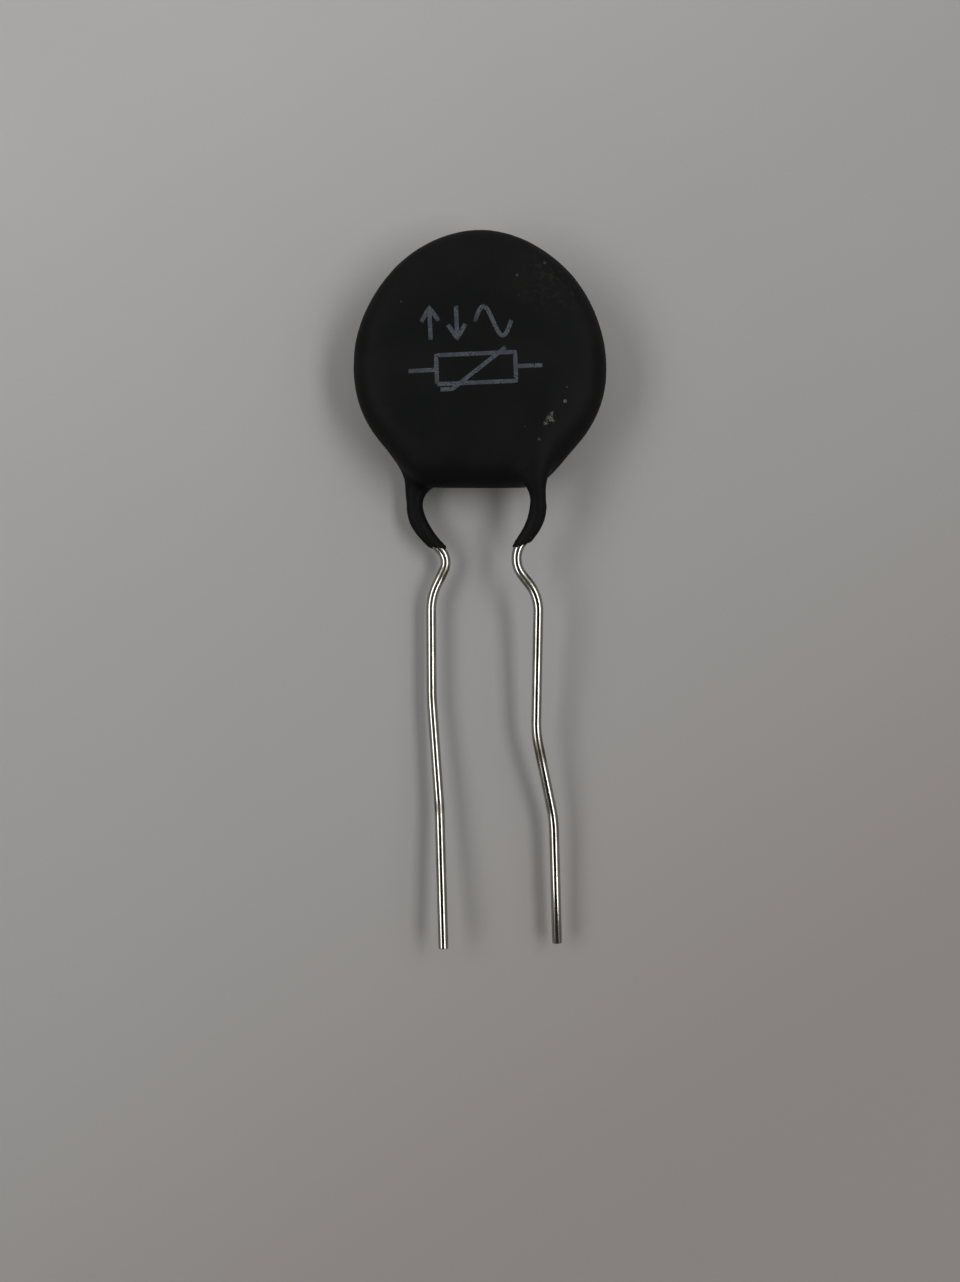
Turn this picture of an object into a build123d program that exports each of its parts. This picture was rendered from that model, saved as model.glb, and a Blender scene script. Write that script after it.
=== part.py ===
"""Disc thermistor with two kinked wire leads, lying on its back face.

A disc of thermistor ceramic carries a silver electrode on each face. A stiff tinned wire is soldered
across each electrode, and a dipped coat of resin covers everything down to the kinks in the leads.
The origin is the middle of the disc, on the plane that the back of the coat rests on. The front face
looks up +Z and the leads run towards -Y.
"""

import os
from math import acos, asin, atan2, cos, degrees, hypot, radians, sin, sqrt

from build123d import *

# ---------------------------------------------------------------- driving dimensions, millimetres
# thermistor ceramic and its electrodes
disc_diameter = 15.0
disc_thickness = 2.8
disc_chamfer = 0.15
electrode_margin = 0.5  # bare ceramic left round each electrode
electrode_thickness = 0.03

# wire leads
wire_diameter = 0.68
tip_chamfer = 0.07
run_length = 7.9  # stretch of each lead that lies across its electrode
run_inset = 0.3  # the foot of that stretch stops this far inside the foot of the ceramic
front_lean = 11.5  # degrees that the soldered stretch leans outwards
back_lean = 5.0

# solder beads
solder_film = 0.05  # solder left between wire and electrode
solder_width = 1.9
solder_height = 0.5
solder_rounding = 0.35
solder_past_end = 0.6  # solder beyond the upper end of the wire
solder_short = 0.9  # the bead stops this far above the foot of the soldered stretch

# resin coat over the disc
coat_cover = 0.35  # resin over the outer side of each soldered wire
coat_rim = 1.06  # resin outside the rim of the ceramic
coat_lobe = 0.17  # how far its three soft lobes stand off a true circle
dome_flat = 3.0  # radius of the flat middle of each face
dome_drop = 0.28  # fall of each face from its flat middle to its rim
rim_rounding = 2.0
web_reach = 1.1  # the dip line crosses between the legs this far below the ceramic
web_half_width = 3.0
web_corner = 2.4

# resin coat over the leads
ridge_relief = 0.23  # the ridges stay this far inside the planes of the two faces
ridge_rise = 2.6  # a ridge comes out of the face over this stretch of its wire
ridge_start = ((0.1, 0.15), (0.5, 0.75), (1, 1))  # part of that stretch, part of its cover reached
ridge_fade = ((0.45, 1), (0.13, 0.6), (0, 0))  # part of the way up from the foot, part not yet become a leg
leg_thickness = 1.24
leg_taper = ((0.33, 0), (0.6, 0.4), (0.85, 0.9), (1, 1))  # part of the way down, and part thinned by there
leg_overrun = 0.5  # stretch of each leg that is made and then cut away at a slant
leg_end_wall = 0.1  # resin left on the wire where the coat stops
shoulder_depth = 1.2  # radius that blends a leg into the thickness of the disc
shoulder_rise = 3.0  # that blend deepens no further than this above the foot of the shoulder
armpit = 0.55  # radius between the dip line and the inside of each leg
armpit_foot = 0.5  # that radius starts this far below the foot of the shoulder
front_shoulder = 2.1  # radius of the shoulder outside the lead
front_shoulder_foot = 1.45  # from the foot of the soldered stretch to the foot of the shoulder
front_shoulder_spread = 1.25  # width that the shoulder gains before it meets the disc
front_leg = 4.4  # along the wire, from the foot of the shoulder to the end of the coat
front_leg_tilt = 20.0  # degrees by which the inner side of the leg reaches lower
back_shoulder = 4.0
back_shoulder_foot = 1.75
back_shoulder_spread = 1.6
back_leg = 4.25
back_leg_tilt = 8.0

# ---------------------------------------------------------------- derived sizes
disc_radius = disc_diameter / 2
wire_radius = wire_diameter / 2
leg_radius = leg_thickness / 2
coat_radius = disc_radius + coat_rim
wire_offset = disc_thickness / 2 + electrode_thickness + solder_film + wire_radius
coat_thickness = 2 * (wire_offset + wire_radius + coat_cover)
disc_middle = coat_thickness / 2
front_wire = disc_middle + wire_offset
back_wire = disc_middle - wire_offset
run_foot = -disc_radius + run_inset
web_line = -disc_radius - web_reach


# ---------------------------------------------------------------- leads
def lead_route(root, lean, corners, bends):
    """Middle line of a lead, from its upper end on the electrode through its root and corners to its tip.

    The corners are (across, distance beyond the dip line, height), with a bend radius for each but the tip.
    """
    points = [root + run_length * Vector(sin(radians(lean)), cos(radians(lean))), root]
    for across, beyond, height in corners:
        points.append(Vector(across, web_line - beyond, height))
    with BuildLine() as route:
        FilletPolyline(*points, radius=bends)
    return route.wire()


def formed_wire(route):
    """A wire swept along its route, with the edge of its cut tip lightly broken."""
    with BuildPart() as wire:
        with BuildSketch(Plane(route @ 0, z_dir=route % 0)):
            Circle(wire_radius)
        sweep(path=route)
        chamfer(wire.edges().filter_by(GeomType.CIRCLE).sort_by(Axis.Y)[0], tip_chamfer)
    return wire.part


front_route = lead_route(
    root=Vector(3.82, run_foot, front_wire),
    lean=front_lean,
    corners=[
        (3.98, 2.35, front_wire - 1.1),
        (1.92, 4.75, front_wire - 1.25),
        (3.94, 7.28, front_wire - 1.35),
        (3.80, 16.6, front_wire - 2.1),
        (5.04, 22.5, front_wire - 2.8),
        (5.28, 31.0, front_wire - 2.97),
    ],
    bends=[2.5, 3.9, 1.8, 3.0, 8.0, 9.0],
)
back_route = lead_route(
    root=Vector(-4.52, run_foot, back_wire),
    lean=-back_lean,
    corners=[
        (-4.68, 1.95, back_wire + 0.58),
        (-2.12, 4.72, back_wire + 0.53),
        (-3.36, 7.3, back_wire + 0.45),
        (-3.32, 14.2, back_wire + 0.48),
        (-2.77, 21.7, back_wire + 0.78),
        (-2.48, 31.2, back_wire + 1.5),
    ],
    bends=[3.0, 4.2, 1.2, 4.0, 12.0, 16.0],
)

with BuildPart() as front_lead:
    add(formed_wire(front_route))
front_lead.part.label = "front_lead"

with BuildPart() as back_lead:
    add(formed_wire(back_route))
back_lead.part.label = "back_lead"

# ---------------------------------------------------------------- ceramic and electrodes
front_face = Plane.XY.offset(disc_middle + disc_thickness / 2)
back_face = Plane.XY.offset(disc_middle - disc_thickness / 2)

with BuildPart() as ceramic_disc:
    with BuildSketch(back_face):
        Circle(disc_radius)
    extrude(amount=disc_thickness)
    chamfer(ceramic_disc.edges(), disc_chamfer)
ceramic_disc.part.label = "ceramic_disc"

with BuildPart() as front_electrode:
    with BuildSketch(front_face):
        Circle(disc_radius - electrode_margin)
    extrude(amount=electrode_thickness)
front_electrode.part.label = "front_electrode"

with BuildPart() as back_electrode:
    with BuildSketch(back_face):
        Circle(disc_radius - electrode_margin)
    extrude(amount=-electrode_thickness)
back_electrode.part.label = "back_electrode"


# ---------------------------------------------------------------- solder
def solder_mound(route, face, outwards):
    """A long mound of solder on an electrode, under and round the soldered stretch of a lead."""
    upper_end = route @ 0 - route % 0 * solder_past_end
    lower_end = route @ 0 + route % 0 * (run_length - solder_short)
    middle = (upper_end + lower_end) / 2
    electrode_height = face.origin.Z + outwards * electrode_thickness
    bed = Plane((middle.X, middle.Y, electrode_height), x_dir=route % 0, z_dir=(0, 0, outwards))
    with BuildPart() as mound:
        with BuildSketch(bed):
            SlotOverall((lower_end - upper_end).length, solder_width)
        extrude(amount=solder_height)
        crown = mound.faces().sort_by(Axis((0, 0, 0), (0, 0, outwards)))[-1]
        fillet(crown.edges(), solder_rounding)
    return mound.part


with BuildPart() as front_solder:
    add(solder_mound(front_route, front_face, 1))
    add(front_lead.part, mode=Mode.SUBTRACT)
front_solder.part.label = "front_solder"

with BuildPart() as back_solder:
    add(solder_mound(back_route, back_face, -1))
    add(back_lead.part, mode=Mode.SUBTRACT)
back_solder.part.label = "back_solder"


# ---------------------------------------------------------------- resin coat
def coated_outline():
    """Outline of the coated disc: three soft lobes of tangent arcs, and a straight dip line at its foot."""
    off_centre = 2 * coat_lobe / (2 - sqrt(3))
    lobe_radius = coat_radius + coat_lobe - off_centre
    flank_radius = coat_radius - coat_lobe + off_centre
    with BuildSketch() as outline:
        with BuildLine():
            CenterArc((0, off_centre), lobe_radius, 60, 60)
            for side in (1, -1):
                lobe = Vector(side * off_centre * cos(radians(30)), -off_centre / 2)
                corner = Vector(side * web_half_width, web_line + web_corner)
                reach = corner - lobe
                # the straight side leaves the lobe and meets the corner at one and the same angle
                slope = atan2(reach.Y, side * reach.X) + acos((lobe_radius - web_corner) / reach.length)
                start = 90 - side * 90
                turn = side * degrees(slope)
                CenterArc(-lobe.rotate(Axis.Z, side * 60), flank_radius, start, side * 60)
                lower_lobe = CenterArc(lobe, lobe_radius, start, turn)
                foot = CenterArc(corner, web_corner, start + turn, -side * 90 - turn)
                Line(lower_lobe @ 1, foot @ 0)
            Line((-web_half_width, web_line), (web_half_width, web_line))
        make_face()
    return outline.sketch


with BuildPart() as coated_disc:
    add(coated_outline())
    extrude(amount=coat_thickness)
    dome_run = coat_radius - rim_rounding - dome_flat
    dome_radius = (dome_run**2 + dome_drop**2) / (2 * dome_drop)
    dome_sweep = 1.5 * degrees(asin(coat_radius / dome_radius))  # ends well outside the rim
    with BuildSketch(Plane.YZ):
        with BuildLine():
            back_dome = CenterArc((dome_flat, dome_radius), dome_radius, -90, dome_sweep)
            front_dome = CenterArc((dome_flat, coat_thickness - dome_radius), dome_radius, 90, -dome_sweep)
            Line(back_dome @ 1, front_dome @ 1)
            Polyline(back_dome @ 0, (0, 0), (0, coat_thickness), front_dome @ 0)
        make_face()
    revolve(axis=Axis.Z, mode=Mode.INTERSECT)
    level_edges = coated_disc.edges().filter_by(Axis.Z, reverse=True)
    rim_edges = level_edges.filter_by(lambda edge: hypot((edge @ 0).X, (edge @ 0).Y) > dome_flat + 1)
    fillet(rim_edges, rim_rounding)


def flare(rise, radius):
    """Sideways spread at a height above the foot of a shoulder: an arc up to 45 degrees, then straight."""
    knee = radius * sin(radians(45))
    if rise <= knee:
        return radius - sqrt(radius**2 - max(rise, 0) ** 2)
    return radius - knee + (rise - knee)


def coated_lead(route, side, outwards, shoulder, shoulder_foot, spread, leg, leg_tilt):
    """The resin over one lead: a soft ridge on the face, a shoulder, and a leg that thins to the wire.

    Its sections stand square to the wire. `side` is the side of the disc that the lead leaves from, and
    `outwards` is the way that the wire's own face of the disc looks.
    """
    foot = run_length + shoulder_foot
    ridge_radius = wire_radius + coat_cover - ridge_relief
    end_radius = wire_radius + leg_end_wall
    sections = [
        (foot - part_way * ridge_rise, wire_radius + grown * (ridge_radius - wire_radius))
        for part_way, grown in ridge_start
    ]
    sections += [
        (part_way * foot, leg_radius + kept * (ridge_radius - leg_radius)) for part_way, kept in ridge_fade
    ]
    with BuildPart() as coated:
        for rise, cover in sections:
            place = (foot - rise) / route.length
            outer = leg_radius + min(flare(rise, shoulder), spread)
            inner = leg_radius + min(flare(rise + armpit_foot, armpit), spread)
            depth = leg_radius + flare(min(rise, shoulder_rise), shoulder_depth)
            level = Plane(route @ place, x_dir=(0, 0, outwards), z_dir=route % place)
            towards_rim = 1 if level.y_dir.X * side > 0 else -1
            with BuildSketch(level):
                with Locations(((cover - depth) / 2, towards_rim * (outer - inner) / 2)):
                    Ellipse((cover + depth) / 2, (outer + inner) / 2)
        for part_way, thinned in leg_taper:
            place = (foot + part_way * (leg + leg_overrun)) / route.length
            with BuildSketch(Plane(route @ place, x_dir=(0, 0, outwards), z_dir=route % place)):
                Circle(leg_radius + (end_radius - leg_radius) * thinned)
        loft()
        tilt = radians(leg_tilt)
        leg_end = route @ ((foot + leg) / route.length)
        split(bisect_by=Plane(leg_end, z_dir=(-side * sin(tilt), cos(tilt), 0)), keep=Keep.TOP)
    return coated.part


with BuildPart() as resin_coat:
    add(coated_disc.part)
    front_sizes = (front_shoulder, front_shoulder_foot, front_shoulder_spread, front_leg, front_leg_tilt)
    back_sizes = (back_shoulder, back_shoulder_foot, back_shoulder_spread, back_leg, back_leg_tilt)
    add(coated_lead(front_route, 1, 1, *front_sizes))
    add(coated_lead(back_route, -1, -1, *back_sizes))
    for held in (ceramic_disc, front_electrode, back_electrode, front_solder, back_solder):
        add(held.part, mode=Mode.SUBTRACT)
    for held in (front_lead, back_lead):
        add(held.part, mode=Mode.SUBTRACT)
resin_coat.part.label = "resin_coat"

os.makedirs("parts", exist_ok=True)
export_step(ceramic_disc.part, "parts/ceramic_disc.step")
export_step(front_electrode.part, "parts/front_electrode.step")
export_step(back_electrode.part, "parts/back_electrode.step")
export_step(front_solder.part, "parts/front_solder.step")
export_step(back_solder.part, "parts/back_solder.step")
export_step(front_lead.part, "parts/front_lead.step")
export_step(back_lead.part, "parts/back_lead.step")
export_step(resin_coat.part, "parts/resin_coat.step")
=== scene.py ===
"""A disc thermistor as it lies on a pale sheet: a black dipped disc with two kinked, tinned leads.

The sizes are metres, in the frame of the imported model, and the tables that say so are millimetres. The
disc rests on its back face, its leads run towards -Y, and the face that carries the printed mark looks
up +Z.
"""

from math import cos, exp, inf, pi, radians, sin, tan
from typing import NamedTuple

import bmesh
import bpy
from mathutils import Matrix, Vector, noise


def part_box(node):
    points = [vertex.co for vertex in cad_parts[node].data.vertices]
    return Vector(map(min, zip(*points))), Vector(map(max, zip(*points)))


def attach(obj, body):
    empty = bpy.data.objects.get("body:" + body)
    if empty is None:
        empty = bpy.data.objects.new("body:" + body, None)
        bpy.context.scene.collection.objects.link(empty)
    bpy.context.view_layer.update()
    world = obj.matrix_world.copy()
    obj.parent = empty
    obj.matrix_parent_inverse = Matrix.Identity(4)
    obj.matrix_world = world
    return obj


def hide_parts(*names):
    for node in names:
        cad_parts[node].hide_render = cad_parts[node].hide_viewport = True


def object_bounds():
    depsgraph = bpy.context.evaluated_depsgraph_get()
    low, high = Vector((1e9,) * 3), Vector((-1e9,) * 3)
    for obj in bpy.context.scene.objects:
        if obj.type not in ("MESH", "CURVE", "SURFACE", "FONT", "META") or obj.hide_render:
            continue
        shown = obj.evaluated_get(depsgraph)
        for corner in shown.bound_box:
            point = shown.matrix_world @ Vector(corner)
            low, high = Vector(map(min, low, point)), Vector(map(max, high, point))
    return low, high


bl_info = {
    "name": "Disc thermistor",
    "version": (1, 0, 0),
    "blender": (4, 5, 0),
    "location": "3D View > Sidebar > Thermistor",
    "description": "Builds a dipped disc thermistor with kinked wire leads round its packed model",
    "category": "Object",
}

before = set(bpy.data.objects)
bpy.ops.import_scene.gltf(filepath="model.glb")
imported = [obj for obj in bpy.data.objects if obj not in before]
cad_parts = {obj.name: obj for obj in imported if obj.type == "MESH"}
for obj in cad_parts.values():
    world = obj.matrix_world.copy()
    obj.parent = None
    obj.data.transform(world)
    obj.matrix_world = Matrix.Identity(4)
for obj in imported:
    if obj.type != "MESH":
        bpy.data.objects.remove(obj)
CAD_LOW, CAD_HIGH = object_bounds()
COAT_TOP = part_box("resin_coat")[1].z
MM = 0.001
JOIN_DISTANCE = 0.001 * MM


# ---------------------------------------------------------------- shader nodes
class Value:
    """A node's output that can be used in sums. Each sum adds its Math node."""

    def __init__(self, shader, socket):
        self.shader = shader
        self.socket = socket

    def math(self, operation, *values):
        """The result of a Math node on these values."""
        return self.shader.node("ShaderNodeMath", {"operation": operation}, dict(enumerate(values)))

    def __add__(self, other):
        return self.math("ADD", self, other)

    def __radd__(self, other):
        return self.math("ADD", other, self)

    def __sub__(self, other):
        return self.math("SUBTRACT", self, other)

    def __rsub__(self, other):
        return self.math("SUBTRACT", other, self)

    def __mul__(self, other):
        return self.math("MULTIPLY", self, other)

    def __rmul__(self, other):
        return self.math("MULTIPLY", other, self)

    def step(self, low, high):
        """0 below low, 1 above high, and a smooth rise between them. With low above high it falls."""
        settings = {"interpolation_type": "SMOOTHSTEP"}
        sockets = {"Value": self, "From Min": low, "From Max": high}
        return self.shader.node("ShaderNodeMapRange", settings, sockets)


class Shader:
    """A node tree that is being filled in."""

    def __init__(self, tree):
        self.tree = tree
        tree.nodes.clear()

    def node(self, kind, settings=None, sockets=None, output=0):
        """Adds a node, with its settings first and then its sockets, and returns one of its outputs."""
        made = self.tree.nodes.new(kind)
        for name, value in (settings or {}).items():
            setattr(made, name, value)
        for name, value in (sockets or {}).items():
            if isinstance(value, Value):
                self.tree.links.new(value.socket, made.inputs[name])
            else:
                made.inputs[name].default_value = value
        return Value(self, made.outputs[output]) if made.outputs else None

    def place(self, stretch=(1, 1, 1)):
        """The point on the object in metres, with each axis divided by its stretch."""
        point = self.node("ShaderNodeTexCoord", output="Object")
        if stretch == (1, 1, 1):
            return point
        scale = tuple(1 / size for size in stretch)
        return self.node("ShaderNodeMapping", sockets={"Vector": point, "Scale": scale})

    def noise(self, size, detail=2.0, rough=0.5, stretch=(1, 1, 1)):
        """Soft noise from 0 to 1 whose blotches are about this size in metres."""
        sockets = {
            "Vector": self.place(stretch),
            "Scale": 1 / size,
            "Detail": detail,
            "Roughness": rough,
        }
        return self.node("ShaderNodeTexNoise", sockets=sockets)

    def near(self, point, inner, outer):
        """1 within the inner distance of a point and 0 beyond the outer one."""
        sockets = {0: self.place(), 1: point}
        distance = self.node("ShaderNodeVectorMath", {"operation": "DISTANCE"}, sockets, "Value")
        return distance.step(outer, inner)

    def dot(self, vector, way):
        """How far a vector reaches along a way."""
        sockets = {0: vector, 1: way}
        return self.node("ShaderNodeVectorMath", {"operation": "DOT_PRODUCT"}, sockets, "Value")

    def mix(self, amount, first, second):
        """The first colour where the amount is 0 and the second where it is 1."""
        sockets = {0: amount, 6: with_alpha(first), 7: with_alpha(second)}
        return self.node("ShaderNodeMix", {"data_type": "RGBA"}, sockets, 2)

    def bump(self, height, depth):
        """Normals of a surface whose height runs from 0 to 1 over this depth in metres."""
        return self.node("ShaderNodeBump", sockets={"Height": height, "Distance": depth})


def with_alpha(tone):
    """A plain colour with its alpha, or a value as it is."""
    return tone if isinstance(tone, Value) else (*tone, 1)


def finish(name, build, **principled):
    """A material: build adds its patterns and returns them by socket, over the plain values given here."""
    material = bpy.data.materials.new(name)
    material.use_nodes = True
    shader = Shader(material.node_tree)
    sockets = {**principled, **build(shader)}
    surface = shader.node("ShaderNodeBsdfPrincipled", sockets=sockets)
    shader.node("ShaderNodeOutputMaterial", sockets={"Surface": surface})
    return material


# ---------------------------------------------------------------- settings
def length(name, default, description):
    """A length in metres for a settings group."""
    return bpy.props.FloatProperty(
        name=name, description=description, default=default, precision=5, unit="LENGTH"
    )


def colour(name, default, description):
    """A colour for a settings group."""
    return bpy.props.FloatVectorProperty(
        name=name, description=description, default=default, subtype="COLOR", min=0, max=1
    )


def fraction(name, default, description):
    """A number from 0 to 1 for a settings group."""
    return bpy.props.FloatProperty(name=name, description=description, default=default, min=0, max=1)


def count(name, default, description):
    """A whole number from 0 up for a settings group."""
    return bpy.props.IntProperty(name=name, description=description, default=default, min=0)


def angle(name, default, description):
    """An angle for a settings group. Its default is given in degrees."""
    return bpy.props.FloatProperty(
        name=name, description=description, default=radians(default), subtype="ANGLE"
    )


class CoatSettings(bpy.types.PropertyGroup):
    """The dipped resin coat."""

    grain: length("Grain", 0.1 * MM, "Size of the small faces that the coat is laid out in")
    leg_softening: count("Leg softening", 8, "How many times the creases of the legs are relaxed")
    disc_softening: count("Disc softening", 80, "How many times more the creases of the disc are relaxed")
    front_end_tilt: angle("Front end tilt", 20, "How far the end of the front lead's coated leg slants")
    back_end_tilt: angle("Back end tilt", 8, "How far the end of the back lead's coated leg slants")
    swell: length("Swell", 0.12 * MM, "How far the coat swells over each soldered wire")
    waviness: length("Waviness", 0.04 * MM, "How far the poured skin stands in and out of its true form")
    ragged: length("Ragged ends", 0.16 * MM, "How far the thin ends of the legs run on or stop short")
    resin: colour("Resin", (0.0026, 0.0027, 0.003), "Colour of the resin")
    haze: colour("Haze", (0.0042, 0.0042, 0.0041), "Colour where the resin is dulled")
    # the fleck colour is a painted highlight: lighter flecks in the sheen of the front face
    painted_highlight_fleck: colour("Fleck", (0.016, 0.016, 0.014), "Colour of the flecks in its sheen")
    dust: colour("Dust", (0.16, 0.16, 0.15), "Colour of its small chips and specks")
    roughness: fraction("Roughness", 0.56, "Roughness of the resin")


class LeadSettings(bpy.types.PropertyGroup):
    """The two wire leads."""

    diameter: length("Diameter", 0.68 * MM, "Diameter of the wire")
    run: length("Soldered run", 7.9 * MM, "Stretch of each lead that lies across its electrode")
    tip_break: length("Broken edge", 0.05 * MM, "How far the edge of each cut tip is broken")
    tin: colour("Tin", (0.37, 0.355, 0.325), "Colour of the bright tin")
    tarnish: colour("Tarnish", (0.1, 0.085, 0.062), "Colour of the dulled tin")
    core: colour("Core", (0.2, 0.13, 0.1), "Colour of the metal where a tip is cut")
    smear: colour("Smear", (0.33, 0.29, 0.26), "Colour of the tin that the cutter drew over the core")


class MarkSettings(bpy.types.PropertyGroup):
    """The printed mark on the front face."""

    stroke: length("Stroke", 0.3 * MM, "Width of a printed stroke")
    film: length("Film", 0.012 * MM, "Thickness of the ink")
    turn: angle("Turn", 2.5, "How far the mark is turned on the disc")
    ink: colour("Ink", (0.052, 0.062, 0.072), "Colour of the ink")
    thin_ink: colour("Thin ink", (0.02, 0.024, 0.034), "Colour where the ink is thin")


class InsideSettings(bpy.types.PropertyGroup):
    """The pieces sealed in the coat."""

    ceramic: colour("Ceramic", (0.07, 0.065, 0.06), "Colour of the thermistor ceramic")
    ceramic_grain: colour("Ceramic grain", (0.12, 0.11, 0.1), "Colour of the paler grains in the ceramic")
    silver: colour("Silver", (0.72, 0.71, 0.68), "Colour of the fired silver film")
    solder: colour("Solder", (0.6, 0.6, 0.6), "Colour of the solder")


class StageSettings(bpy.types.PropertyGroup):
    """The sheet, the room and the camera."""

    camera_height: length("Camera height", 90 * MM, "Height of the camera over the sheet")
    view_length: length("View length", 89.14 * MM, "Length of sheet that the camera takes in")
    view_middle: length("View middle", -18.93 * MM, "Where along Y the camera stands")
    sheet: colour("Sheet", (0.288, 0.283, 0.277), "Colour of the sheet")
    # the light and dark sides are painted light and painted shade on the sheet
    sheet_painted_light: colour("Light side", (0.385, 0.375, 0.37), "Colour of the sheet at its light corner")
    sheet_painted_shade: colour("Dark side", (0.222, 0.202, 0.19), "Colour of the sheet at its dark corner")
    sheet_cloud: colour("Clouds", (0.2, 0.2, 0.2), "Colour of the faint clouds on the sheet")
    backdrop: colour("Backdrop", (0.33, 0.325, 0.32), "Colour of the room where the camera sees it")


# ---------------------------------------------------------------- shared steps
def rise(value, start, end):
    """0 before start, 1 past end, and an even rise between them. With start above end it falls."""
    return min(max((value - start) / (end - start), 0), 1)


def new_object(name, data):
    """A new object in the scene that holds this data."""
    made = bpy.data.objects.new(name, data)
    bpy.context.scene.collection.objects.link(made)
    return made


def to_mesh(shape, name):
    """A new mesh of this name from a bmesh, which is freed."""
    mesh = bpy.data.meshes.new(name)
    shape.to_mesh(mesh)
    shape.free()
    return mesh


def new_piece(name, shape, *materials):
    """A smooth-shaded piece at the origin, made from a bmesh, that rides with the part."""
    mesh = to_mesh(shape, name)
    mesh.polygons.foreach_set("use_smooth", [True] * len(mesh.polygons))
    for material in materials:
        mesh.materials.append(material)
    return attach(new_object(name, mesh), "root")


def worked_out(made):
    """A bmesh of an object with its modifiers or its curve worked out. The object is removed."""
    graph = bpy.context.evaluated_depsgraph_get()
    mesh = bpy.data.meshes.new_from_object(made.evaluated_get(graph))
    bpy.data.objects.remove(made)
    shape = bmesh.new()
    shape.from_mesh(mesh)
    bpy.data.meshes.remove(mesh)
    return shape


def merged_copy(node):
    """A bmesh of a CAD node with its loose triangles joined."""
    shape = bmesh.new()
    shape.from_mesh(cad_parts[node].data)
    bmesh.ops.remove_doubles(shape, verts=shape.verts, dist=JOIN_DISTANCE)
    return shape


# ---------------------------------------------------------------- routes of the leads
class Route(NamedTuple):
    """The route of one lead, in millimetres and degrees.

    It has the side of the disc that it comes down on, as the sign of X, the root where it turns down from
    its electrode, how far its soldered run leans out, its corners down to the tip, and the bend radius at
    the root and at each corner but the tip.
    """

    side: int
    root: tuple
    lean: float
    corners: tuple
    radii: tuple

    def soldered_way(self):
        """The way that the soldered run goes from its root."""
        return Vector((sin(radians(self.lean)), cos(radians(self.lean)), 0))


ROUTES = {
    "front_lead": Route(
        side=1,
        root=(3.82, -7.2, 4.33),
        lean=11.5,
        corners=(
            (3.98, -10.95, 3.23),
            (1.92, -13.35, 3.08),
            (3.94, -15.88, 2.98),
            (3.8, -25.2, 2.23),
            (5.04, -31.1, 1.53),
            (5.28, -39.6, 1.36),
        ),
        radii=(2.5, 3.9, 1.8, 3.0, 8.0, 9.0),
    ),
    "back_lead": Route(
        side=-1,
        root=(-4.52, -7.2, 0.69),
        lean=-5.0,
        corners=(
            (-4.68, -10.55, 1.27),
            (-2.12, -13.32, 1.22),
            (-3.36, -15.9, 1.14),
            (-3.32, -22.8, 1.17),
            (-2.77, -30.3, 1.47),
            (-2.48, -39.8, 2.19),
        ),
        radii=(3.0, 4.2, 1.2, 4.0, 12.0, 16.0),
    ),
}


# ---------------------------------------------------------------- resin coat
# the cosine from which a face counts as facing the same way as the end of a leg
SAME_WAY = 0.9999

# the coat gets smoother from its legs up to its disc, most of all where they meet: where along Y each
# further relaxing starts and stops, in millimetres, and its part of the softening
SOFT_BANDS = ((-10.4, 10, 0.25), (-9.9, -7.4, 0.8), (-8.2, 10, 0.25), (-7.4, 10, 0.25))

# where along Y the tops of the legs are relaxed once more after the pour
LEG_TOPS = (-10.8 * MM, -7.2 * MM)

# the swell over a soldered wire: where up the wire from its root it rises, where it falls again, and how
# far it spreads to each side
SWELL_RISE = (-3.2 * MM, -1.8 * MM)
SWELL_FALL = (7.5 * MM, 4.5 * MM)
SWELL_SPREAD = 1.3 * MM

# the waves of the poured skin: the size of the broad ones and of the fine ones, how strong the fine ones
# are beside them, and where along Y the waves set in between the legs and the disc
BROAD_WAVE = 3.4 * MM
FINE_WAVE = 1.1 * MM
FINE_STRENGTH = 0.35
WAVES_RISE = (-9.5 * MM, -7.5 * MM)

# the most that the back face moves towards the sheet, as a part of its height over it
BACK_LIFT_MOST = 0.5

# where along Y the thin ends of the legs start to fray and fray fully, and the size of the frays
FRAY_RISE = (-11.9 * MM, -12.5 * MM)
FRAY_SIZE = 0.22 * MM


def leg_end(coat, side, tilt):
    """A point on the slanted end of the coated leg on this side, and the way that the end faces."""
    facing = Vector((side * sin(tilt), -cos(tilt), 0))
    middles = [face.calc_center_median() for face in coat.faces if face.normal.dot(facing) > SAME_WAY]
    middles = [middle for middle in middles if middle.x * side > 0]
    if not middles:
        raise RuntimeError("no coated leg ends at this tilt")
    return min(middles, key=lambda middle: middle.y), facing


def add_plug(coat, node, point, facing):
    """Fills the channel of a lead in the coat, up to the slanted end of its leg."""
    plug = merged_copy(node)
    geometry = plug.verts[:] + plug.edges[:] + plug.faces[:]
    bmesh.ops.bisect_plane(plug, geom=geometry, plane_co=point, plane_no=facing, clear_outer=True)
    bmesh.ops.holes_fill(plug, edges=[edge for edge in plug.edges if edge.is_boundary])
    mesh = to_mesh(plug, "plug")
    coat.from_mesh(mesh)
    bpy.data.meshes.remove(mesh)


def laid_out(shape, grain):
    """The outside of a shape laid out afresh in even faces of this size. It is remeshed in millimetres."""
    bmesh.ops.scale(shape, vec=(1 / MM,) * 3, verts=shape.verts)
    made = new_object("poured", to_mesh(shape, "poured"))
    remesh = made.modifiers.new("Even faces", "REMESH")
    remesh.mode = "VOXEL"
    remesh.voxel_size = grain / MM
    skin = worked_out(made)
    bmesh.ops.scale(skin, vec=(MM,) * 3, verts=skin.verts)
    return skin


def relax(skin, times, lowest=-inf, highest=inf):
    """Relaxes the creases of the skin between these places along Y."""
    verts = [vert for vert in skin.verts if lowest < vert.co.y < highest]
    for _ in range(times):
        bmesh.ops.smooth_vert(
            skin, verts=verts, factor=0.5, use_axis_x=True, use_axis_y=True, use_axis_z=True
        )


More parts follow.
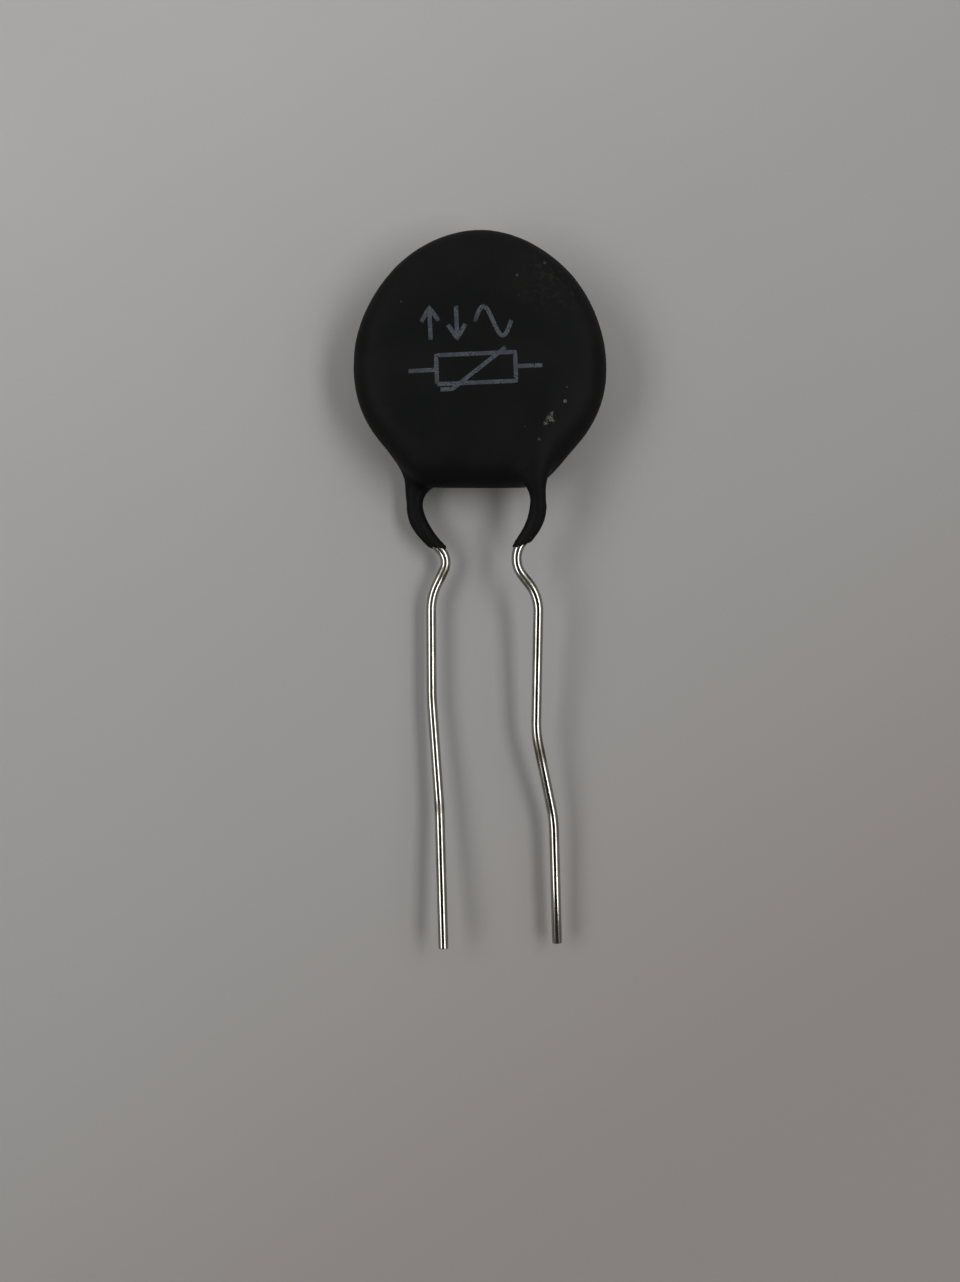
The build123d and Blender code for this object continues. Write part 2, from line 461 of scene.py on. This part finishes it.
def over_wire(place, face):
    """How far a place on one face of the disc is affected by the wire under it, from 0 to 1."""
    route = ROUTES[f"{face}_lead"]
    along = route.soldered_way().to_2d()
    from_root = Vector(place[:2]) - Vector(route.root[:2]) * MM
    up = from_root.dot(along)
    aside = (from_root - up * along).length
    return rise(up, *SWELL_FALL) * rise(up, *SWELL_RISE) * exp(-((aside / SWELL_SPREAD) ** 2))


def pour(skin, settings):
    """Swells the coat over the soldered wires, makes it slightly uneven, and frays the ends of its legs."""
    skin.normal_update()
    for vert in skin.verts:
        place = vert.co.copy()
        face = "front" if place.z > COAT_TOP / 2 else "back"
        flatness = abs(vert.normal.z)
        swell = settings.swell * over_wire(place, face) * flatness
        wave = noise.noise(place / BROAD_WAVE) + FINE_STRENGTH * noise.noise(place / FINE_WAVE)
        waves = settings.waviness * wave * rise(place.y, *WAVES_RISE)
        if face == "front":
            lift = swell + waves
        else:
            lift = min(swell + waves * flatness**2, place.z * BACK_LIFT_MOST)
        vert.co += lift * vert.normal
        fray = rise(place.y, *FRAY_RISE)
        if fray:
            vert.co.y += settings.ragged * fray * noise.noise(place / FRAY_SIZE)


# crumbs of dust caught in the front face, most of them near its right shoulder: across, along and size,
# in millimetres
CRUMBS = (
    (4.55, -4.3, 0.22),
    (4.72, -3.98, 0.17),
    (4.3, -4.6, 0.16),
    (4.8, -4.42, 0.12),
    (5.6, -3.15, 0.11),
    (5.5, -5.5, 0.12),
    (3.9, -5.65, 0.11),
    (5.7, -2.2, 0.07),
    (-5.2, 3.4, 0.06),
)

# the height of the crumbs, and the middle of the sheen on the front face, where lighter flecks are a painted
# highlight
CRUMB_HEIGHT = 4.8 * MM
SHEEN_MIDDLE = (5.3 * MM, 5.2 * MM, 4.6 * MM)


def resin_finish(settings):
    """Near-black dipped resin: a faint orange peel, a sheen flecked with painted highlight, and a few crumbs
    of dust.
    """

    def build(shader):
        peel = shader.noise(0.8 * MM, detail=3)
        fine = shader.noise(0.14 * MM, detail=2)
        cloud = shader.noise(4 * MM, detail=3)
        sheen = shader.near(SHEEN_MIDDLE, 0.8 * MM, 3.8 * MM)
        # painted highlight: flecks of a lighter colour within the sheen, which also roughen it slightly
        painted_highlight_fleck = sheen * shader.noise(0.35 * MM, detail=5, rough=0.7).step(0.48, 0.66)
        frayed = shader.noise(0.12 * MM, detail=3, rough=0.7).step(0.42, 0.56)
        crumb = 0
        for across, along, size in CRUMBS:
            middle = (across * MM, along * MM, CRUMB_HEIGHT)
            spot = shader.near(middle, 0.3 * size * MM, 1.5 * size * MM)
            crumb = spot.math("MAXIMUM", spot, crumb)
        crumb = crumb * frayed
        speck = shader.noise(0.45 * MM, detail=1, rough=0.3).step(0.8, 0.83)
        body = shader.mix(cloud.step(0.35, 0.7), settings.resin, settings.haze)
        # paints the lighter flecks of the sheen's highlight into the colour
        with_painted_highlight = shader.mix(painted_highlight_fleck * 0.5, body, settings.painted_highlight_fleck)
        dusted = shader.mix(crumb * 0.85 + speck * 0.15, with_painted_highlight, settings.dust)
        relief = peel * 0.6 + fine * 0.25 + crumb * 0.9
        return {
            "Base Color": dusted,
            "Roughness": settings.roughness - sheen * 0.06 + painted_highlight_fleck * 0.1 + fine * 0.08,
            "Normal": shader.bump(relief, 0.02 * MM),
        }

    return finish("dipped_resin", build, **{"Specular IOR Level": 0.07})


class THERMISTOR_OT_coat(bpy.types.Operator):
    """Pour the resin coat over the disc and the tops of the leads"""

    bl_idname = "thermistor.coat"
    bl_label = "Resin coat"

    def execute(self, context):
        settings = context.scene.thermistor_coat
        shape = merged_copy("resin_coat")
        tilts = {"front_lead": settings.front_end_tilt, "back_lead": settings.back_end_tilt}
        ends = {node: leg_end(shape, ROUTES[node].side, tilt) for node, tilt in tilts.items()}
        for node, (point, facing) in ends.items():
            add_plug(shape, node, point, facing)
        skin = laid_out(shape, settings.grain)
        relax(skin, settings.leg_softening)
        for lowest, highest, amount in SOFT_BANDS:
            relax(skin, round(amount * settings.disc_softening), lowest * MM, highest * MM)
        pour(skin, settings)
        relax(skin, settings.leg_softening, *LEG_TOPS)
        coat = new_piece("resin_skin", skin, resin_finish(settings))
        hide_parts("resin_coat")
        return {"FINISHED"}


# ---------------------------------------------------------------- leads
# the steps in which each bend and the wire's round are laid out
BEND_STEPS = 16
ROUND_STEPS = 8


def set_handle(point, side, place):
    """Sets one handle of a curve's point. With no place, the curve is straight on that side."""
    setattr(point, f"handle_{side}_type", "VECTOR" if place is None else "FREE")
    setattr(point, f"handle_{side}", point.co if place is None else place)


def bent_line(corners, radii):
    """A curve that runs straight between its corners and turns round each by its own radius."""
    points = [(corners[0], None, None)]
    for before, corner, after, radius in zip(corners, corners[1:], corners[2:], radii):
        back = (before - corner).normalized()
        on = (after - corner).normalized()
        turn = pi - back.angle(on)
        run_in = radius * tan(turn / 2)
        handle = radius * tan(turn / 4) * 4 / 3
        start, end = corner + run_in * back, corner + run_in * on
        points.append((start, None, start - handle * back))
        points.append((end, end - handle * on, None))
    points.append((corners[-1], None, None))
    curve = bpy.data.curves.new("route", "CURVE")
    curve.dimensions = "3D"
    curve.resolution_u = BEND_STEPS
    spline = curve.splines.new("BEZIER")
    spline.bezier_points.add(len(points) - 1)
    for point, (place, left, right) in zip(spline.bezier_points, points):
        point.co = place
        set_handle(point, "left", left)
        set_handle(point, "right", right)
    return curve


# where forming has dulled and nicked the tin: across, along, height and size, in millimetres
DULLED = (
    (3.95, -26.4, 2.1, 1.3),
    (3.3, -14.8, 3.0, 0.9),
    (-2.5, -14.3, 1.2, 0.7),
    (-2.85, -30.3, 1.5, 0.6),
)


def tin_finish(settings):
    """Bright tin on drawn wire: lengthwise streaks, dull stains, and a few nicks from forming."""

    def build(shader):
        streak = shader.noise(0.07 * MM, detail=3, stretch=(1, 40, 1))
        stain = shader.noise(0.8 * MM, detail=4, rough=0.6, stretch=(1, 2.5, 1))
        nick = shader.noise(0.4 * MM, detail=2, stretch=(1, 1.6, 1)).step(0.7, 0.75)
        ripple = shader.noise(0.6 * MM, detail=1, stretch=(1, 3, 1))
        worked = 0
        for across, along, height, size in DULLED:
            middle = (across * MM, along * MM, height * MM)
            worked = shader.near(middle, 0.3 * size * MM, 1.2 * size * MM) + worked
        tone = stain.step(0.42, 0.75) * 0.45 + nick * 0.5 + worked * 0.75
        relief = streak * 0.3 + ripple * 0.7 - nick * 0.6
        return {
            "Base Color": shader.mix(tone, settings.tin, settings.tarnish),
            "Roughness": 0.09 + stain * 0.07 + nick * 0.2 + worked * 0.2,
            "Normal": shader.bump(relief, 0.006 * MM),
        }

    return finish("tinned_wire", build, Metallic=1.0)


def core_finish(settings):
    """The dull sheared end of a tinned copper wire."""

    def build(shader):
        shear = shader.noise(0.06 * MM, detail=3, stretch=(6, 1, 1))
        return {
            "Base Color": shader.mix(shear, settings.core, settings.smear),
            "Normal": shader.bump(shear, 0.02 * MM),
        }

    return finish("sheared_core", build, Metallic=1.0, Roughness=0.5)


def close_ends(tube):
    """Joins a tube's loose rings, closes its open ends and returns the new faces."""
    bmesh.ops.remove_doubles(tube, verts=tube.verts, dist=JOIN_DISTANCE)
    rims = [edge for edge in tube.edges if edge.is_boundary]
    return bmesh.ops.holes_fill(tube, edges=rims)["faces"]


def cut_tip(wire, tip_break):
    """Breaks the edge of the wire's cut tip, and gives the cut face the second material."""
    caps = close_ends(wire)
    cap = min(caps, key=lambda face: face.calc_center_median().y)
    cap.material_index = 1
    bmesh.ops.bevel(
        wire, geom=cap.edges[:], offset=tip_break, segments=3, profile=0.5, affect="EDGES", material=-1
    )


class THERMISTOR_OT_leads(bpy.types.Operator):
    """Form the two wire leads"""

    bl_idname = "thermistor.leads"
    bl_label = "Leads"

    def execute(self, context):
        settings = context.scene.thermistor_leads
        tin, core = tin_finish(settings), core_finish(settings)
        for node, route in ROUTES.items():
            places = [Vector(place) * MM for place in (route.root, *route.corners)]
            top = places[0] + settings.run * route.soldered_way()
            curve = bent_line([top, *places], [radius * MM for radius in route.radii])
            curve.bevel_depth = settings.diameter / 2
            curve.bevel_resolution = ROUND_STEPS
            wire = worked_out(new_object("route", curve))
            cut_tip(wire, settings.tip_break)
            bmesh.ops.recalc_face_normals(wire, faces=wire.faces)
            lead = new_piece(f"{node}_wire", wire, tin, core)
            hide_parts(node)
        return {"FINISHED"}


# ---------------------------------------------------------------- printed mark
# the rounding steps of a stroke, and about how far apart its points are, in millimetres
STROKE_STEPS = 2
STROKE_SPACING = 0.3


def straight(*corners):
    """Points along straight strokes through these corners, in millimetres."""
    points = [Vector((*corners[0], 0))]
    for start, end in zip(corners, corners[1:]):
        reach = Vector(end) - Vector(start)
        pieces = max(1, round(reach.length / STROKE_SPACING))
        points += [Vector((*(Vector(start) + reach * step / pieces), 0)) for step in range(1, pieces + 1)]
    return points


def wave(start, middle, reach, steps=16):
    """Points along one wave that swings a millimetre to each side of its middle line."""
    turns = [step / steps for step in range(steps + 1)]
    return [Vector((start + reach * turn, middle + sin(2 * pi * turn), 0)) for turn in turns]


def arrow(x, foot, head, barb):
    """The strokes of an upright arrow from its foot to its head, whose barbs reach this far back."""
    back = barb if foot > head else -barb
    aside = 0.6 * barb
    return [
        straight((x, foot), (x, head)),
        straight((x - aside, head + back), (x, head), (x + aside, head + back)),
    ]


def mark_strokes():
    """The strokes of the mark in millimetres: two arrows and a wave, over the circuit symbol of its kind."""
    return [
        *arrow(-3.2, 0.98, 3.15, 0.95),
        *arrow(-1.45, 3.15, 0.98, 0.95),
        wave(-0.25, 2.05, 2.4),
        straight((-4.75, -1.0), (-2.9, -1.0)),
        straight((2.3, -1.0), (4.05, -1.0)),
        straight((-2.9, -1.95), (-2.9, -0.05), (2.3, -0.05), (2.3, -1.95), (-2.9, -1.95)),
        straight((-2.7, -2.3), (-1.9, -2.3), (1.7, 0.3)),
    ]


def ink_finish(settings):
    """Thin pad-printed ink, worn through in small spots."""

    def build(shader):
        grain = shader.noise(0.1 * MM, detail=3, rough=0.6)
        patch = shader.noise(0.6 * MM, detail=2)
        cover = (grain * 0.6 + patch * 0.4).step(0.33, 0.5)
        return {
            "Base Color": shader.mix(patch.step(0.3, 0.7), settings.ink, settings.thin_ink),
            "Alpha": cover,
        }

    return finish("printed_ink", build, Roughness=0.6, **{"Specular IOR Level": 0.3})


def stroke_shape(strokes, width):
    """A bmesh of round strokes of this width along these points, lying in one plane."""
    curve = bpy.data.curves.new("strokes", "CURVE")
    curve.dimensions = "3D"
    curve.bevel_depth = width / 2
    curve.bevel_resolution = STROKE_STEPS
    for stroke in strokes:
        spline = curve.splines.new("POLY")
        spline.points.add(len(stroke) - 1)
        for point, place in zip(spline.points, stroke):
            point.co = (*(place * MM), 1)
    shape = worked_out(new_object("strokes", curve))
    close_ends(shape)
    return shape


def lay_on(shape, coat):
    """Lifts a flat shape onto the front of the coat, point by point."""
    for vert in shape.verts:
        over = Vector((vert.co.x, vert.co.y, 2 * COAT_TOP))
        hit, place, _, _ = coat.ray_cast(over, (0, 0, -1))
        if not hit:
            raise RuntimeError("a stroke of the mark runs off the coat")
        vert.co.z += place.z


class THERMISTOR_OT_mark(bpy.types.Operator):
    """Print the generic mark on the front face"""

    bl_idname = "thermistor.mark"
    bl_label = "Printed mark"

    def execute(self, context):
        settings = context.scene.thermistor_mark
        shape = stroke_shape(mark_strokes(), settings.stroke)
        flatten = Matrix.Diagonal((1, 1, settings.film / settings.stroke, 1))
        turn = Matrix.Rotation(settings.turn, 4, "Z")
        bmesh.ops.transform(shape, matrix=turn @ flatten, verts=shape.verts)
        lay_on(shape, bpy.data.objects["resin_skin"])
        bmesh.ops.recalc_face_normals(shape, faces=shape.faces)
        new_piece("printed_mark", shape, ink_finish(settings))
        return {"FINISHED"}


# ---------------------------------------------------------------- sealed pieces
def ceramic_finish(settings):
    """Dark fired ceramic with a fine grain."""

    def build(shader):
        grain = shader.noise(0.08 * MM, detail=3)
        return {
            "Base Color": shader.mix(grain, settings.ceramic, settings.ceramic_grain),
            "Normal": shader.bump(grain, 0.01 * MM),
        }

    return finish("fired_ceramic", build, Roughness=0.7)


def soft_metal_finish(name, tone, size, rough):
    """A dull poured or fired metal with soft, darker blotches of this size."""
    darker = tuple(0.7 * channel for channel in tone)

    def build(shader):
        blotch = shader.noise(size, detail=3)
        return {
            "Base Color": shader.mix(blotch, tone, darker),
            "Roughness": rough + blotch * 0.15,
            "Normal": shader.bump(blotch, 0.01 * MM),
        }

    return finish(name, build, Metallic=1.0)


class THERMISTOR_OT_inside(bpy.types.Operator):
    """Finish the ceramic, the electrodes and the solder that the coat seals in"""

    bl_idname = "thermistor.inside"
    bl_label = "Sealed pieces"

    def execute(self, context):
        settings = context.scene.thermistor_inside
        silver = soft_metal_finish("fired_silver", settings.silver, 0.3 * MM, 0.4)
        solder = soft_metal_finish("soft_solder", settings.solder, 0.6 * MM, 0.3)
        finishes = {
            "ceramic_disc": ceramic_finish(settings),
            "front_electrode": silver,
            "back_electrode": silver,
            "front_solder": solder,
            "back_solder": solder,
        }
        for node, material in finishes.items():
            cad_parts[node].data.materials.clear()
            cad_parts[node].data.materials.append(material)
        return {"FINISHED"}


# ---------------------------------------------------------------- stage
# how far the sheet runs from its middle each way, and how fast its painted light and shade run on from its
# lighter corner to its darker one, for each metre across and along
SHEET_REACH = 1.5
SHEET_SLOPE = (6.0, -8.5, 0)

# the tube lamps: how far off they are and how long, in metres, and for each the way that it lies from the
# part, its width in metres and its power in watts
LAMP_DISTANCE = 0.5
LAMP_LENGTH = 0.5
LAMPS = {
    "key_lamp": ((0.76, 0.04, 1), 0.12, 1.38),
    "far_lamp": ((-0.95, 0.04, 0.95), 0.16, 1.16),
}

# the room round the sheet: the angles from straight overhead, in degrees, at which it stops being dark and
# is fully dim, and how bright it is where it is dark and how much brighter where it is dim
OVERHEAD = (22, 50)
DARK = 0.02
DIM = 0.14

# its pale walls or windows: where each lies, how bright it is, the angles from its middle, in degrees, at
# which it starts to fade and ends, and how far it is drawn out along Y
WINDOWS = (
    ((0.0, 0.8, 0.6), 0.7, 20, 60, 1.0),
    ((0.82, 0.0, 0.57), 1.3, 4, 10, 4.0),
    ((-0.84, 0.0, 0.54), 1.3, 4, 10, 4.0),
)

# the width of the camera's sensor, in millimetres, and the nearest thing that it sees
SENSOR_WIDTH = 36
CLIP_START = 1 * MM


def sheet_finish(settings):
    """A pale matt sheet with painted light and shade: lighter at one corner, darkening softly towards the
    other.
    """

    def build(shader):
        slope = shader.dot(shader.place(), SHEET_SLOPE)
        cloud = shader.noise(14 * MM, detail=3)
        # painted light at one corner and painted shade towards the other, darkening softly across the sheet
        light = shader.mix(slope.step(0.15, -0.45), settings.sheet, settings.sheet_painted_light)
        dark = shader.mix(slope.step(0.05, 0.6), light, settings.sheet_painted_shade)
        return {
            "Base Color": shader.mix(cloud * 0.12, dark, settings.sheet_cloud),
            "Normal": shader.bump(shader.noise(0.4 * MM, detail=3), 0.01 * MM),
        }

    return finish("pale_sheet", build, Roughness=0.85, **{"Specular IOR Level": 0.2})


def lay_sheet(settings):
    """Lays the sheet under the part."""
    grid = bmesh.new()
    bmesh.ops.create_grid(grid, x_segments=1, y_segments=1, size=SHEET_REACH)
    mesh = to_mesh(grid, "sheet")
    mesh.materials.append(sheet_finish(settings))
    new_object("sheet", mesh)


def add_lamp(name, direction, width, power):
    """Adds a tube lamp along Y that shines on the middle of the part from this direction."""
    data = bpy.data.lights.new(name, "AREA")
    data.shape = "RECTANGLE"
    data.size = LAMP_LENGTH
    data.size_y = width
    data.energy = power
    way = Vector(direction).normalized()
    lamp = new_object(name, data)
    lamp.location = (CAD_LOW + CAD_HIGH) / 2 + LAMP_DISTANCE * way
    lamp.rotation_euler = way.to_track_quat("Z", "Y").to_euler()


def light_room(world, backdrop):
    """A dim room with soft windows, dark overhead, and pale where the camera sees it."""
    world.use_nodes = True
    shader = Shader(world.node_tree)
    ray = shader.node("ShaderNodeTexCoord", output="Generated")

    def near_to(direction, start, end, drawn_out=1.0):
        """1 near a direction, fading to 0 between these angles from it. With start above end it rises."""
        sockets = {0: ray, 1: (1, 1 / drawn_out, 1)}
        squeezed = shader.node("ShaderNodeVectorMath", {"operation": "MULTIPLY"}, sockets)
        even = shader.node("ShaderNodeVectorMath", {"operation": "NORMALIZE"}, {0: squeezed})
        closeness = shader.dot(even, tuple(Vector(direction).normalized()))
        return closeness.step(cos(radians(end)), cos(radians(start)))

    edge, dim = OVERHEAD
    room = near_to((0, 0, 1), dim, edge) * DIM + DARK
    for direction, bright, start, end, drawn_out in WINDOWS:
        room = room + near_to(direction, start, end, drawn_out) * bright
    camera_ray = shader.node("ShaderNodeLightPath", output="Is Camera Ray")
    seen = shader.mix(camera_ray, room, backdrop)
    background = shader.node("ShaderNodeBackground", sockets={"Color": seen, "Strength": 1.0})
    shader.node("ShaderNodeOutputWorld", sockets={"Surface": background})


def set_camera(settings):
    """Sets the camera over the sheet, looking straight down."""
    data = bpy.data.cameras.new("camera")
    data.sensor_width = SENSOR_WIDTH
    data.lens = SENSOR_WIDTH * settings.camera_height / settings.view_length
    data.clip_start = CLIP_START
    camera = new_object("camera", data)
    camera.location = (0, settings.view_middle, settings.camera_height)
    bpy.context.scene.camera = camera


class THERMISTOR_OT_stage(bpy.types.Operator):
    """Lay out the sheet, the lamps, the room and the camera"""

    bl_idname = "thermistor.stage"
    bl_label = "Stage"

    def execute(self, context):
        scene = context.scene
        settings = scene.thermistor_stage
        lay_sheet(settings)
        for name, (direction, width, power) in LAMPS.items():
            add_lamp(name, direction, width, power)
        scene.world = scene.world or bpy.data.worlds.new("room")
        light_room(scene.world, settings.backdrop)
        set_camera(settings)
        scene.view_settings.view_transform = "Standard"
        return {"FINISHED"}


# ---------------------------------------------------------------- add-on
class THERMISTOR_PT_pieces(bpy.types.Panel):
    """The steps that build the thermistor"""

    bl_idname = "THERMISTOR_PT_pieces"
    bl_label = "Disc thermistor"
    bl_space_type = "VIEW_3D"
    bl_region_type = "UI"
    bl_category = "Thermistor"

    def draw(self, context):
        for operator, group in STEPS:
            self.layout.operator(operator.bl_idname)
            for name in SETTINGS[group].__annotations__:
                self.layout.prop(getattr(context.scene, group), name)


SETTINGS = {
    "thermistor_coat": CoatSettings,
    "thermistor_leads": LeadSettings,
    "thermistor_mark": MarkSettings,
    "thermistor_inside": InsideSettings,
    "thermistor_stage": StageSettings,
}
STEPS = (
    (THERMISTOR_OT_coat, "thermistor_coat"),
    (THERMISTOR_OT_leads, "thermistor_leads"),
    (THERMISTOR_OT_mark, "thermistor_mark"),
    (THERMISTOR_OT_inside, "thermistor_inside"),
    (THERMISTOR_OT_stage, "thermistor_stage"),
)


def register():
    """Adds the settings, the steps and the panel."""
    for name, group in SETTINGS.items():
        bpy.utils.register_class(group)
        setattr(bpy.types.Scene, name, bpy.props.PointerProperty(type=group))
    for operator, _ in STEPS:
        bpy.utils.register_class(operator)
    bpy.utils.register_class(THERMISTOR_PT_pieces)


def unregister():
    """Takes them out again."""
    bpy.utils.unregister_class(THERMISTOR_PT_pieces)
    for operator, _ in reversed(STEPS):
        bpy.utils.unregister_class(operator)
    for name, group in SETTINGS.items():
        delattr(bpy.types.Scene, name)
        bpy.utils.unregister_class(group)


def main():
    """Builds every piece and the stage."""
    register()
    bpy.ops.thermistor.coat()
    bpy.ops.thermistor.leads()
    bpy.ops.thermistor.mark()
    bpy.ops.thermistor.inside()
    bpy.ops.thermistor.stage()


if __name__ == "__main__":
    main()
